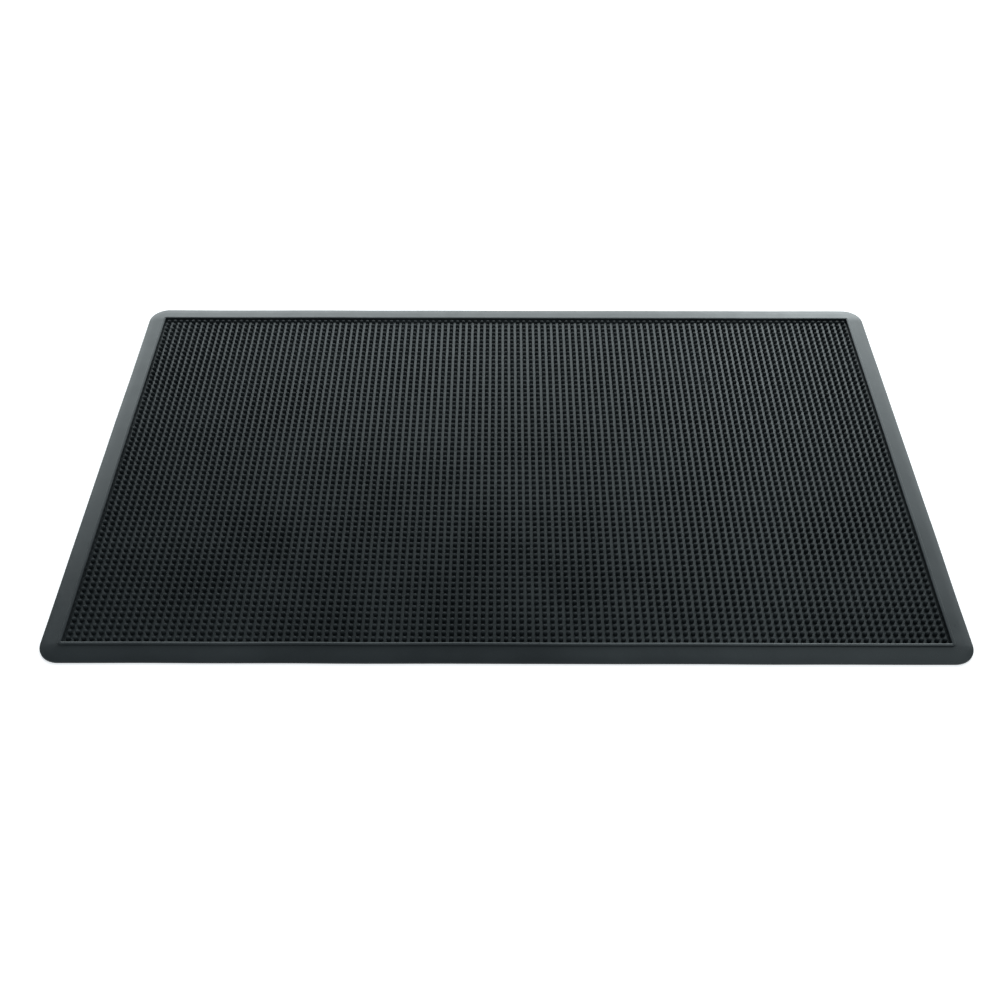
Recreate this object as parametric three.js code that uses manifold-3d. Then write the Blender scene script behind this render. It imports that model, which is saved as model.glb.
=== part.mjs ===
// Moulded rubber pin mat for an entrance: a floor sheet that carries a field of short pins, inside
// a bevelled border in four lengths that meet in mitres at the rounded corners.
// Millimetres, +Z up. The origin is the middle of the underside, +X runs along the long side and
// -Y points to the front edge.
import * as THREE from 'three';
import { mergeVertices } from 'three/addons/utils/BufferGeometryUtils.js';
import Module from 'manifold-3d';

const wasm = await Module();
wasm.setup();

// Mat as a whole
const matLength = 1000;
const matDepth = 606;
const cornerRadius = 25;

// Border section, from the outer edge inwards: upright rim, ramp, small step up, flat crest
const rimHeight = 2;
const rampWidth = 19.6;
const crestStep = 1.6;
const crestHeight = 6.5;
const crestWidth = 4;

// Floor sheet and pins, which stand no nearer to the border's wall than the least distance
const floorThickness = 2.2;
const pinDiameter = 5.4;
const pinPitch = 8.4;
const leastWallToPinCentre = 5.8;

// Clearances left where separate pieces meet
const mitreGap = 0.3;
const sheetGap = 0.3;

// Facets in half a quarter turn, and how far a cutting block overshoots what it cuts
const arcFacets = 4;
const overshoot = 2;

// The ramp ends one step under the crest, and the pins' tips are level with the crest.
const rampHeight = crestHeight - crestStep;
const pinHeight = crestHeight - floorThickness;
const borderWidth = rampWidth + crestWidth;
const openingLength = matLength - 2 * borderWidth;
const openingDepth = matDepth - 2 * borderWidth;
const openingRadius = Math.max(cornerRadius - borderWidth, 1);

// A rectangle with rounded corners, centred on the origin.
function roundedRectangle(length, depth, radius) {
  const x = length / 2;
  const y = depth / 2;
  const shape = new THREE.Shape();
  shape.moveTo(-x + radius, -y);
  shape.absarc(x - radius, -y + radius, radius, -Math.PI / 2, 0);
  shape.absarc(x - radius, y - radius, radius, 0, Math.PI / 2);
  shape.absarc(-x + radius, y - radius, radius, Math.PI / 2, Math.PI);
  shape.absarc(-x + radius, -y + radius, radius, Math.PI, Math.PI * 1.5);
  return shape;
}

// A flat plate of the given outline, from height `bottom` to height `top`.
function plate(shape, bottom, top) {
  const options = { depth: top - bottom, bevelEnabled: false, curveSegments: arcFacets };
  return new THREE.ExtrudeGeometry(shape, options).translate(0, 0, bottom);
}

function solid(geometry) {
  const bare = geometry.clone();
  bare.deleteAttribute('normal');
  bare.deleteAttribute('uv');
  const merged = mergeVertices(bare, 1e-4);
  const vertProperties = new Float32Array(merged.attributes.position.array);
  const triVerts = new Uint32Array(merged.index.array);
  return new wasm.Manifold(new wasm.Mesh({ numProp: 3, vertProperties, triVerts }));
}

function geometryOf(manifold) {
  const { vertProperties, triVerts } = manifold.getMesh();
  const geometry = new THREE.BufferGeometry();
  geometry.setAttribute('position', new THREE.BufferAttribute(vertProperties, 3));
  geometry.setIndex(new THREE.BufferAttribute(triVerts, 1));
  return geometry;
}

// The whole border as one ring. The ramp is the bevel of a plate that is as thick as the rim, and
// the bevel's lower half is cut away at the underside.
function borderRing() {
  const crestLength = matLength - 2 * rampWidth;
  const crestDepth = matDepth - 2 * rampWidth;
  const crestOutline = roundedRectangle(crestLength, crestDepth, cornerRadius - rampWidth);
  const rampPlate = new THREE.ExtrudeGeometry(crestOutline, {
    depth: rimHeight,
    bevelEnabled: true,
    bevelSegments: 1,
    bevelThickness: rampHeight - rimHeight,
    bevelSize: rampWidth,
    curveSegments: arcFacets,
  });
  const aboveGround = plate(roundedRectangle(matLength * 2, matDepth * 2, cornerRadius), 0, crestHeight);
  const openingOutline = roundedRectangle(openingLength, openingDepth, openingRadius);
  return solid(rampPlate)
    .intersect(solid(aboveGround))
    .add(solid(plate(crestOutline, 0, crestHeight)))
    .subtract(solid(plate(openingOutline, -overshoot, crestHeight + overshoot)));
}

// The wedge-ended block that takes one length out of the ring. The side runs along X and lies
// `reach` in front of the centre before the block is turned to its place.
function mitreBlock(sideLength, reach, turn) {
  const endSetBack = mitreGap / Math.SQRT2;
  const outerHalf = sideLength / 2 + overshoot - endSetBack;
  const innerHalf = sideLength / 2 - borderWidth - overshoot - endSetBack;
  const outerY = -reach - overshoot;
  const innerY = -reach + borderWidth + overshoot;
  const shape = new THREE.Shape([
    new THREE.Vector2(-outerHalf, outerY),
    new THREE.Vector2(outerHalf, outerY),
    new THREE.Vector2(innerHalf, innerY),
    new THREE.Vector2(-innerHalf, innerY),
  ]);
  return solid(plate(shape, -overshoot, crestHeight + overshoot).rotateZ(turn));
}

function floorSheet() {
  const length = openingLength - 2 * sheetGap;
  const depth = openingDepth - 2 * sheetGap;
  return plate(roundedRectangle(length, depth, openingRadius - sheetGap), 0, floorThickness);
}

// The pins as one closed block that touches the outer pins and every tip. As many whole pitches
// go in as the opening has room for.
function pinBlock() {
  const pitchesAlong = Math.floor((openingLength - 2 * leastWallToPinCentre) / pinPitch);
  const pitchesAcross = Math.floor((openingDepth - 2 * leastWallToPinCentre) / pinPitch);
  const length = pitchesAlong * pinPitch + pinDiameter;
  const depth = pitchesAcross * pinPitch + pinDiameter;
  const outline = roundedRectangle(length, depth, pinDiameter / 2);
  return plate(outline, floorThickness, floorThickness + pinHeight);
}

function piece(name, geometry, color, roughness) {
  const material = new THREE.MeshStandardMaterial({ color, roughness, metalness: 0 });
  const mesh = new THREE.Mesh(geometry, material);
  mesh.name = name;
  return mesh;
}

const ring = borderRing();
const borderSides = [
  ['border_front', matLength, matDepth / 2, 0],
  ['border_right', matDepth, matLength / 2, Math.PI / 2],
  ['border_back', matLength, matDepth / 2, Math.PI],
  ['border_left', matDepth, matLength / 2, -Math.PI / 2],
];

const mat = new THREE.Group();
for (const [name, sideLength, reach, turn] of borderSides) {
  const length = ring.intersect(mitreBlock(sideLength, reach, turn));
  mat.add(piece(name, geometryOf(length), 0x2a2d2f, 0.5));
}
mat.add(piece('floor_sheet', floorSheet(), 0x1a1c1d, 0.6));
mat.add(piece('pin_field', pinBlock(), 0x1f2223, 0.55));

export default mat;
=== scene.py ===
import math

import bmesh
import bpy
from mathutils import Matrix, Vector, noise


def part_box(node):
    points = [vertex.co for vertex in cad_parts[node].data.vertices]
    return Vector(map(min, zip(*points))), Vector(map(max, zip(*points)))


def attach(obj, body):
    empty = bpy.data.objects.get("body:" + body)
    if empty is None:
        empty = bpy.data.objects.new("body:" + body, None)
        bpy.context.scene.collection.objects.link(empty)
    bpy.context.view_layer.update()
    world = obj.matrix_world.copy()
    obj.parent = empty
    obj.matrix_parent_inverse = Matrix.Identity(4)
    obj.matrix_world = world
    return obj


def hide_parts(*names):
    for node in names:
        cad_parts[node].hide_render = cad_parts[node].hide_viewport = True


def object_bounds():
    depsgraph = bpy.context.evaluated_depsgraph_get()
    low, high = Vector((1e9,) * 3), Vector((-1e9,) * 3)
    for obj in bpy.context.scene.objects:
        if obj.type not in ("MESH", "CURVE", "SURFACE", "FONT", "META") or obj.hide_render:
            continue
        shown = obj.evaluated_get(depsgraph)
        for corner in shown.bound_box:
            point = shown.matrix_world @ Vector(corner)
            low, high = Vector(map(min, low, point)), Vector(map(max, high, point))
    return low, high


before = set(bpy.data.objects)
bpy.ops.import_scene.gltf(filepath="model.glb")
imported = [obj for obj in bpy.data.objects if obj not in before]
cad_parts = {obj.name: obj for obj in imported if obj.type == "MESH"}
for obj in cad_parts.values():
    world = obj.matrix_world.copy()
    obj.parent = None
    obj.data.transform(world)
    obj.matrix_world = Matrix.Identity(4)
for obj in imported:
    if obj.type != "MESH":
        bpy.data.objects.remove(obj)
cad_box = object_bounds()


# The floor sheet is a flat sheet of black rubber that ties the border together and carries the
# pins. It is moulded with them, its top shows in the lanes between the pins, and its underside
# is set back a little, so that the mat grips on its border and on low studs.
class Wire:
    """One output socket in a material. Arithmetic on it adds Math nodes."""

    def __init__(self, socket):
        self.socket = socket
        self.tree = socket.id_data

    def node(self, kind, settings, sockets, output=0):
        """Adds a node, with its settings first and then its sockets' values or links."""
        made = self.tree.nodes.new("ShaderNode" + kind)
        for name, value in settings.items():
            setattr(made, name, value)
        for name, value in sockets.items():
            if isinstance(value, Wire):
                self.tree.links.new(value.socket, made.inputs[name])
            else:
                made.inputs[name].default_value = value
        return Wire(made.outputs[output])

    def maths(self, operation, left, right, clamp=False):
        settings = {"operation": operation, "use_clamp": clamp}
        return self.node("Math", settings, {0: left, 1: right})

    def __add__(self, other):
        return self.maths("ADD", self, other)

    def __sub__(self, other):
        return self.maths("SUBTRACT", self, other)

    def __rsub__(self, other):
        return self.maths("SUBTRACT", other, self)

    def __mul__(self, other):
        return self.maths("MULTIPLY", self, other)

    __radd__ = __add__
    __rmul__ = __mul__

    def noise(self, scale, detail=3.0):
        """Soft noise between 0 and 1, with `scale` patches to the metre."""
        return self.node("TexNoise", {}, {"Vector": self, "Scale": scale, "Detail": detail})

    def above(self, low, high):
        """0 where the value is under low, 1 where it is over high."""
        return self.maths("MULTIPLY", self - low, 1 / (high - low), clamp=True)

    def colour(self, first, second):
        """The colour that goes from first to second as the value goes from 0 to 1."""
        settings = {"data_type": "RGBA"}
        return self.node("Mix", settings, {0: self, 6: (*first, 1), 7: (*second, 1)}, 2)


def rubber(name, black, bloom, roughness, grain, gloss_index):
    """Moulded black rubber: cloudy grey bloom, a fine grain, and patches that shine more.

    `roughness` is the middle of its range, and `gloss_index` is the index that sets its shine.
    """
    material = bpy.data.materials.new(name)
    material.use_nodes = True
    shader = material.node_tree.nodes["Principled BSDF"]
    shader.inputs["IOR"].default_value = gloss_index
    shader.inputs["Specular Tint"].default_value = (0.88, 0.98, 1, 1)
    place = Wire(material.node_tree.nodes.new("ShaderNodeTexCoord").outputs["Object"])
    clouds = place.noise(scale=9).above(0.35, 0.7)
    specks = place.noise(scale=700, detail=2).above(0.5, 0.75)
    grime = clouds * 0.7 + specks * 0.3
    surface = grime.colour(black, bloom)
    dullness = place.noise(scale=45) * 0.16 + clouds * 0.06 + (roughness - 0.11)
    bumps = place.noise(scale=1400, detail=2) + place.noise(scale=160) * 1.5
    relief = place.node("Bump", {}, {"Strength": grain, "Distance": 0.0002, "Height": bumps})
    for socket, value in (("Base Color", surface), ("Roughness", dullness), ("Normal", relief)):
        material.node_tree.links.new(value.socket, shader.inputs[socket])
    return material


def keep(shape, name, material, nodes, sharp_angle=40):
    """Makes the finished piece from its bmesh, smooth but for edges over the sharp angle."""
    mesh = bpy.data.meshes.new(name)
    shape.to_mesh(mesh)
    shape.free()
    mesh.shade_smooth()
    mesh.set_sharp_from_angle(angle=math.radians(sharp_angle))
    mesh.materials.append(material)
    piece = bpy.data.objects.new(name, mesh)
    bpy.context.scene.collection.objects.link(piece)
    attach(piece, "root")
    if nodes:
        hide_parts(*nodes)
    return piece


def repeat(piece, axis, spacing, count):
    """Repeats the piece along one axis, 0 for X or 1 for Y."""
    rows = piece.modifiers.new("rows", "ARRAY")
    rows.count = count
    rows.use_relative_offset = False
    rows.use_constant_offset = True
    rows.constant_offset_displace = [spacing if i == axis else 0 for i in range(3)]


SHEET_OVERLAP = 0.0004
SHEET_RADIUS = 0.0015
GRIP_RIM = 0.0005
GRIP_DEPTH = 0.0008
STUD_SPACING = 0.0168
STUD_RADIUS = 0.0032
STUD_TAPER = 0.75
STUD_HEIGHT = GRIP_DEPTH * 1.25
STUD_FACETS = 10

floor_rubber = rubber(
    "floor_rubber",
    black=(0.006, 0.0078, 0.0088),
    bloom=(0.018, 0.0222, 0.0242),
    roughness=0.29,
    grain=0.25,
    gloss_index=1.42,
)
sheet_low, sheet_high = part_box("floor_sheet")
sheet_size = sheet_high - sheet_low + Vector((SHEET_OVERLAP, SHEET_OVERLAP, 0)) * 2
sheet_top = sheet_high.z

sheet = bmesh.new()
bmesh.ops.create_cube(sheet, size=1)
bmesh.ops.scale(sheet, vec=sheet_size, verts=sheet.verts)
bmesh.ops.translate(sheet, vec=(sheet_low + sheet_high) / 2, verts=sheet.verts)
corners = [e for e in sheet.edges if abs(e.verts[0].co.z - e.verts[1].co.z) > sheet_top / 2]
bmesh.ops.bevel(
    sheet,
    geom=corners,
    affect="EDGES",
    offset=SHEET_RADIUS,
    segments=4,
    profile=0.5,
    material=-1,
)
under = [f for f in sheet.faces if f.normal.z < -0.9]
bmesh.ops.inset_region(sheet, faces=under, thickness=GRIP_RIM, depth=0, use_even_offset=True)
bmesh.ops.inset_region(sheet, faces=under, thickness=GRIP_DEPTH, depth=-GRIP_DEPTH, use_even_offset=True)
keep(sheet, "floor_sheet_moulding", floor_rubber, ["floor_sheet"])

stud = bmesh.new()
bmesh.ops.create_cone(
    stud,
    cap_ends=True,
    segments=STUD_FACETS,
    radius1=STUD_RADIUS * STUD_TAPER,
    radius2=STUD_RADIUS,
    depth=STUD_HEIGHT,
)
studs_along = int(sheet_size.x / STUD_SPACING)
studs_across = int(sheet_size.y / STUD_SPACING)
first_x = -(studs_along - 1) * STUD_SPACING / 2
first_y = -(studs_across - 1) * STUD_SPACING / 2
bmesh.ops.translate(stud, vec=(first_x, first_y, STUD_HEIGHT / 2), verts=stud.verts)
grip_studs = keep(stud, "grip_studs", floor_rubber, [])
repeat(grip_studs, 0, STUD_SPACING, studs_along)
repeat(grip_studs, 1, STUD_SPACING, studs_across)


# The border is a bevelled edging in four lengths that meet in mitres. From outside it has an
# upright rim, a ramp that a shoe or a trolley rides up, a small step, and a flat crest that ends
# in an upright wall round the pins. The edges are a little wavy, as soft rubber is when it cools.
CORNER_RADIUS = 0.025
RIM_HEIGHT = 0.002
RAMP_WIDTH = 0.0196
CREST_STEP = 0.0016
CREST_WIDTH = 0.004
CREST_ROUND = 0.001
EDGE_ROUND = 0.0004
DRAFT = 0.0001
COVE = 0.0006
COVE_SINK = 0.0002
CORNER_FACETS = 16
CUTS_PER_SIDE = 120
WAVES_PER_METRE = 9
WAVE_HEIGHT = 0.001

border_rubber = rubber(
    "border_rubber",
    black=(0.009, 0.011, 0.0127),
    bloom=(0.023, 0.027, 0.0295),
    roughness=0.33,
    grain=0.3,
    gloss_index=1.42,
)
mat_low, mat_high = cad_box
mat_size = mat_high - mat_low
crest_height = mat_high.z
ramp_rise = crest_height - CREST_STEP - RIM_HEIGHT
# Each course of the section is how far it goes inwards and how far up.
section = (
    (0, RIM_HEIGHT - EDGE_ROUND),
    (EDGE_ROUND * 0.3, EDGE_ROUND * 0.7),
    (EDGE_ROUND * 0.7, EDGE_ROUND * 0.3),
    (RAMP_WIDTH / 2 - EDGE_ROUND, ramp_rise / 2),
    (RAMP_WIDTH / 2, ramp_rise / 2),
    (DRAFT, CREST_STEP - CREST_ROUND),
    (CREST_ROUND * 0.13, CREST_ROUND * 0.5),
    (CREST_ROUND * 0.37, CREST_ROUND * 0.37),
    (CREST_ROUND * 0.5, CREST_ROUND * 0.13),
    (CREST_WIDTH - CREST_ROUND - EDGE_ROUND - 2 * DRAFT, 0),
    (EDGE_ROUND * 0.7, -EDGE_ROUND * 0.3),
    (EDGE_ROUND * 0.3, -EDGE_ROUND * 0.7),
    (DRAFT, sheet_top + COVE - (crest_height - EDGE_ROUND)),
    (COVE * 0.3, -COVE * 0.7),
    (COVE * 0.7, -COVE * 0.3 - COVE_SINK),
    (0, GRIP_DEPTH - sheet_top + COVE_SINK),
    (0, -GRIP_DEPTH),
)

ring = bmesh.new()
bmesh.ops.create_grid(ring, x_segments=1, y_segments=1, size=0.5)
bmesh.ops.scale(ring, vec=(mat_size.x, mat_size.y, 1), verts=ring.verts)
bmesh.ops.bevel(
    ring,
    geom=ring.verts[:],
    affect="VERTICES",
    offset=CORNER_RADIUS,
    segments=CORNER_FACETS,
    profile=0.5,
    material=-1,
)
sides = [e for e in ring.edges if e.calc_length() > CORNER_RADIUS * 2]
bmesh.ops.subdivide_edges(ring, edges=sides, cuts=CUTS_PER_SIDE)
raised = bmesh.ops.extrude_face_region(ring, geom=ring.faces[:])["geom"]
top = [g for g in raised if isinstance(g, bmesh.types.BMFace)]
bmesh.ops.translate(ring, vec=(0, 0, section[0][1]), verts=top[0].verts)
if top[0].normal.z < 0:
    bmesh.ops.reverse_faces(ring, faces=top)
for inwards, upwards in section[1:]:
    bmesh.ops.inset_region(ring, faces=top, thickness=inwards, depth=upwards, use_even_offset=True)
level_faces = [f for f in ring.faces if len(f.verts) > 4]
bmesh.ops.delete(ring, geom=level_faces, context="FACES_ONLY")
loops = [e for e in ring.edges if e.is_boundary]
bmesh.ops.bridge_loops(ring, edges=loops)
for vertex in ring.verts:
    wave = noise.noise(vertex.co * WAVES_PER_METRE) * 0.5 + 0.5
    side = 0 if mat_high.x - abs(vertex.co.x) < mat_high.y - abs(vertex.co.y) else 1
    vertex.co[side] *= 1 - wave * WAVE_HEIGHT / mat_high[side]
bmesh.ops.recalc_face_normals(ring, faces=ring.faces)

# Each length is the ring cut at 45 degrees through the two corners at its ends.
for node, outward in (
    ("border_front", Vector((0, -1, 0))),
    ("border_right", Vector((1, 0, 0))),
    ("border_back", Vector((0, 1, 0))),
    ("border_left", Vector((-1, 0, 0))),
):
    length = ring.copy()
    along = Vector((-outward.y, outward.x, 0))
    for end in (-1, 1):
        corner = (outward + along * end) * mat_high
        bmesh.ops.bisect_plane(
            length,
            geom=length.verts[:] + length.edges[:] + length.faces[:],
            dist=1e-7,
            plane_co=corner,
            plane_no=(along * end - outward).normalized(),
            clear_outer=True,
        )
        open_edges = [e for e in length.edges if e.is_boundary]
        bmesh.ops.holes_fill(length, edges=open_edges, sides=0)
    bmesh.ops.recalc_face_normals(length, faces=length.faces)
    keep(length, node + "_moulding", border_rubber, [node], sharp_angle=30)
ring.free()


# The pins are short tapered fingers of the same rubber, which scrape soles and let dirt drop
# between them. They are moulded with the floor sheet, on a square pitch, and they end in rounded
# tips level with the border's crest. No two lean quite alike.
PIN_RADIUS = 0.0027
PIN_PITCH = 0.0084
PIN_FACETS = 10
PIN_ROOT = 0.0004
ROWS_TOGETHER = 11
LEAN = 0.0014
LEAN_PATCH = 0.012

# The pins are the same rubber as the floor sheet, but this copy has a lighter base colour. That lighter
# colour is painted light: it stands in for fill light on the pins' shaded front sides.
pin_rubber = rubber(
    "pin_rubber",
    black=(0.01, 0.0125, 0.0142),
    bloom=(0.022, 0.0262, 0.0285),
    roughness=0.55,
    grain=0.2,
    gloss_index=1.2,
)
pins_low, pins_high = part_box("pin_field")
pin_height = pins_high.z - pins_low.z
pins_along = round((pins_high.x - pins_low.x - 2 * PIN_RADIUS) / PIN_PITCH) + 1
pins_across = round((pins_high.y - pins_low.y - 2 * PIN_RADIUS) / PIN_PITCH) + 1
# Each course of a pin is its height above the floor sheet and its radius.
courses = (
    (-PIN_ROOT, PIN_RADIUS),
    (PIN_ROOT, PIN_RADIUS),
    (pin_height * 0.76, PIN_RADIUS * 0.88),
    (pin_height * 0.91, PIN_RADIUS * 0.7),
    (pin_height * 0.98, PIN_RADIUS * 0.42),
    (pin_height, PIN_RADIUS * 0.15),
)

# A piece holds a few rows, and is one pin that is repeated along them.
for first_row in range(0, pins_across, ROWS_TOGETHER):
    rows_here = min(ROWS_TOGETHER, pins_across - first_row)
    pin = bmesh.new()
    bmesh.ops.create_circle(pin, cap_ends=True, segments=PIN_FACETS, radius=PIN_RADIUS)
    first_x = pins_low.x + PIN_RADIUS
    first_y = pins_low.y + PIN_RADIUS + first_row * PIN_PITCH
    bmesh.ops.translate(pin, vec=(first_x, first_y, sheet_top - PIN_ROOT), verts=pin.verts)
    tip = pin.faces[:]
    foot = tip[0]
    for (height, radius), (last_height, last_radius) in zip(courses[1:], courses):
        raised = bmesh.ops.extrude_face_region(pin, geom=tip)["geom"]
        if tip[0] is not foot:
            bmesh.ops.delete(pin, geom=tip, context="FACES_ONLY")
        tip = [g for g in raised if isinstance(g, bmesh.types.BMFace)]
        edge = tip[0].verts
        bmesh.ops.translate(pin, vec=(0, 0, height - last_height), verts=edge)
        from_middle = Matrix.Translation(-tip[0].calc_center_median())
        bmesh.ops.scale(pin, vec=[radius / last_radius] * 3, verts=edge, space=from_middle)
    bmesh.ops.recalc_face_normals(pin, faces=pin.faces)
    name = f"pin_rows_{first_row + 1}_to_{first_row + rows_here}"
    rows = keep(pin, name, pin_rubber, ["pin_field"], sharp_angle=60)
    bend = rows.vertex_groups.new(name="bend")
    for vertex in rows.data.vertices:
        bend.add([vertex.index], max(vertex.co.z - sheet_top, 0) / pin_height, "REPLACE")
    repeat(rows, 0, PIN_PITCH, pins_along)
    repeat(rows, 1, PIN_PITCH, rows_here)
    for axis in "XY":
        drift = bpy.data.textures.new("pin_lean_" + axis, "CLOUDS")
        drift.noise_scale = LEAN_PATCH
        lean = rows.modifiers.new("lean_" + axis, "DISPLACE")
        lean.texture = drift
        lean.direction = axis
        lean.strength = LEAN
        lean.vertex_group = "bend"


# The stage is a pale lit table that is only seen from above, under soft light. A wide panel behind
# the mat reaches down to the table and gives the rubber its grazing shine. A tall one makes it
# stronger on the right, a smaller one hangs overhead, and an even glow comes from all round.
TABLE_REACH = 30
TABLE_DROP = 0.0001
LAMP_COLOUR = (0.93, 0.99, 1)

floor_paint = bpy.data.materials.new("pale_floor")
floor_paint.use_nodes = True
table_top = floor_paint.node_tree.nodes["Principled BSDF"]
table_top.inputs["Base Color"].default_value = (0.95, 0.95, 0.95, 1)
table_top.inputs["Roughness"].default_value = 0.9
table_top.inputs["Emission Color"].default_value = (1, 1, 1, 1)
table_top.inputs["Emission Strength"].default_value = 0.5
from_below = Wire(floor_paint.node_tree.nodes.new("ShaderNodeNewGeometry").outputs["Backfacing"])
floor_paint.node_tree.links.new((1 - from_below).socket, table_top.inputs["Alpha"])
ground = bmesh.new()
bmesh.ops.create_grid(ground, x_segments=1, y_segments=1, size=TABLE_REACH)
bmesh.ops.translate(ground, vec=(0, 0, -TABLE_DROP), verts=ground.verts)
ground_mesh = bpy.data.meshes.new("pale_floor")
ground.to_mesh(ground_mesh)
ground.free()
ground_mesh.materials.append(floor_paint)
pale_floor = bpy.data.objects.new("pale_floor", ground_mesh)
bpy.context.scene.collection.objects.link(pale_floor)

world = bpy.data.worlds.new("soft_studio")
world.use_nodes = True
world.node_tree.nodes["Background"].inputs["Color"].default_value = (0.88, 0.96, 1, 1)
world.node_tree.nodes["Background"].inputs["Strength"].default_value = 0.45
bpy.context.scene.world = world

for name, size, glow, place, turn in (
    ("back_panel", (8.2, 2.6), 3, (0.6, 3, 1.31), (-90, 0, 0)),
    ("tall_right_panel", (1.2, 3.6), 2, (1.45, 2.95, 2.1), (-90, 0, 0)),
    ("overhead_panel", (1.6, 2), 0.8, (1.5, 0.2, 2.2), (0, 34, 0)),
):
    panel_light = bpy.data.lights.new(name, "AREA")
    panel_light.shape = "RECTANGLE"
    panel_light.size, panel_light.size_y = size
    panel_light.color = LAMP_COLOUR
    panel_light.energy = glow * math.pi * size[0] * size[1]
    panel = bpy.data.objects.new(name, panel_light)
    panel.location = place
    panel.rotation_euler = [math.radians(angle) for angle in turn]
    panel.visible_camera = False
    bpy.context.scene.collection.objects.link(panel)
bpy.context.scene.view_settings.view_transform = "Standard"

# The camera looks down on the middle of the mat from in front, at about 47 degrees.
LOOK_DOWN = 46.72
LOOK_LEFT = 0.151

camera_lens = bpy.data.cameras.new("camera")
camera_lens.sensor_width = 36
camera_lens.lens = 41.49
camera = bpy.data.objects.new("camera", camera_lens)
camera.location = (-0.0047, -1.0119, 1.0064)
camera.rotation_euler = (math.radians(90 - LOOK_DOWN), 0, math.radians(LOOK_LEFT))
bpy.context.scene.collection.objects.link(camera)
bpy.context.scene.camera = camera
